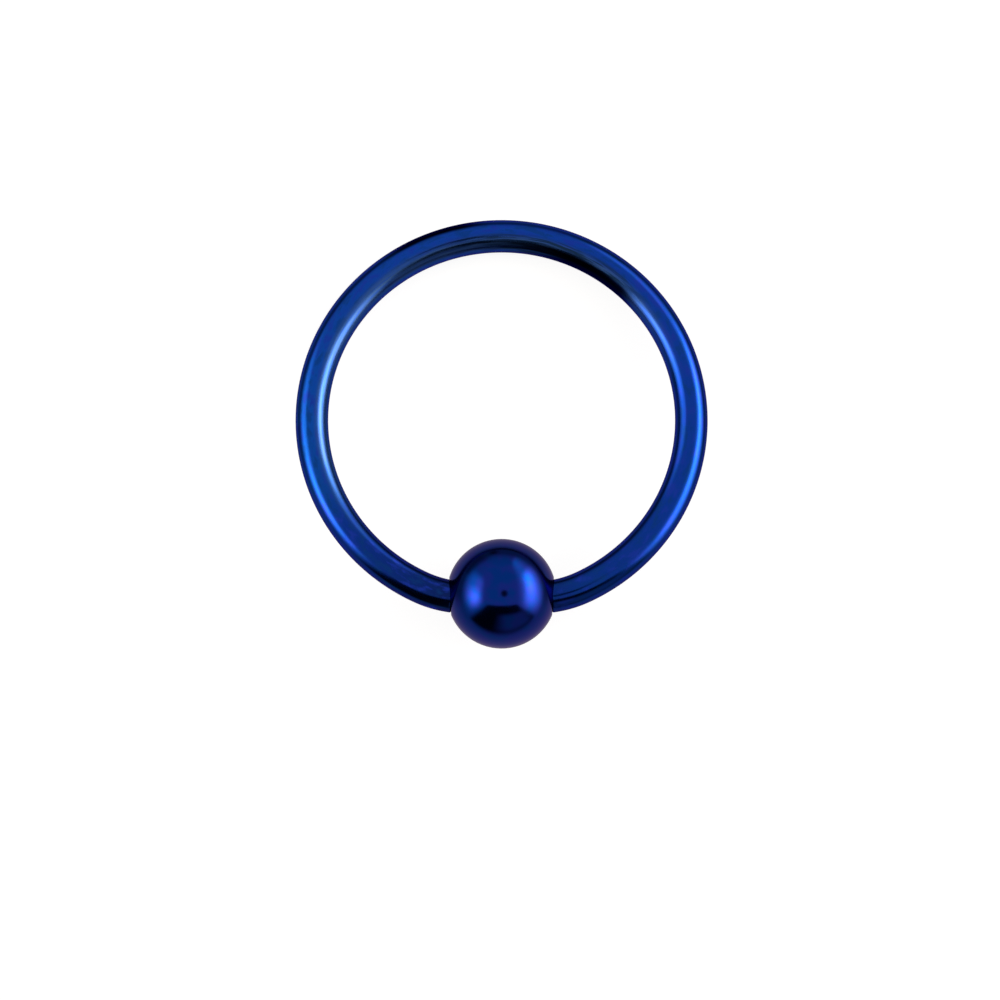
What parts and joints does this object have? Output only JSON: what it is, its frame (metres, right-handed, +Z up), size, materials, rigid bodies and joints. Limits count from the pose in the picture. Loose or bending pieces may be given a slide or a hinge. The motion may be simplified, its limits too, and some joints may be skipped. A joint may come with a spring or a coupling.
{
  "type": "captive bead ring",
  "caption": "Sprung hoop of round wire with a gap, closed by a round bead whose two dimples hold the ends of the wire.",
  "frame": {"origin": "on the surface the ring lies on, under the middle of its footprint", "axes": "+Z up from that surface; -Y towards the bead; X along the line through the bead's two dimples"},
  "size_m": [0.015, 0.016, 0.004],
  "materials": {
    "hoop_metal": "mirror-polished titanium wire, anodised royal blue",
    "bead_metal": "mirror-polished titanium bead, anodised deep blue that turns violet towards its edge"
  },
  "bodies": {
    "hoop": {"hoop": "hoop_metal"},
    "bead": {"bead": "bead_metal"}
  },
  "joints": [
    {"name": "bead_turn", "type": "hinge", "parent": "hoop", "child": "bead", "pos_m": [0, -0.0061, 0.00201], "axis": [1, 0, 0], "continuous": true}
  ]
}
